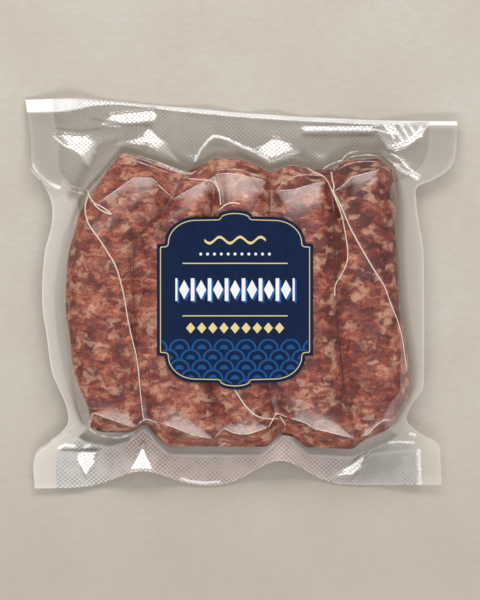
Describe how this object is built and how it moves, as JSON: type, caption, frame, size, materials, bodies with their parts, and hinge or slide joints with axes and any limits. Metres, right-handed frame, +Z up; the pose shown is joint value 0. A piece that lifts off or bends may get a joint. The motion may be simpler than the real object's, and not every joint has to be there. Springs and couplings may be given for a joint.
{
  "type": "vacuum pack of sausage links",
  "caption": "Clear embossed vacuum pouch shrunk tight over a row of fresh tied sausage links, with flared weld margins and a die-cut label on the front.",
  "frame": {"origin": "on the table, under the middle of the pack's box", "axes": "+Z up out of the labelled front, +Y along the links towards the pouch's top weld, +X across the links"},
  "size_m": [0.218, 0.1964, 0.0322],
  "materials": {
    "film": "clear glossy film over coarse pink and dark red meat",
    "label": "satin printed paper, dark blue"
  },
  "bodies": {
    "root": {"pouch": "film", "label": "label"}
  },
  "joints": []
}
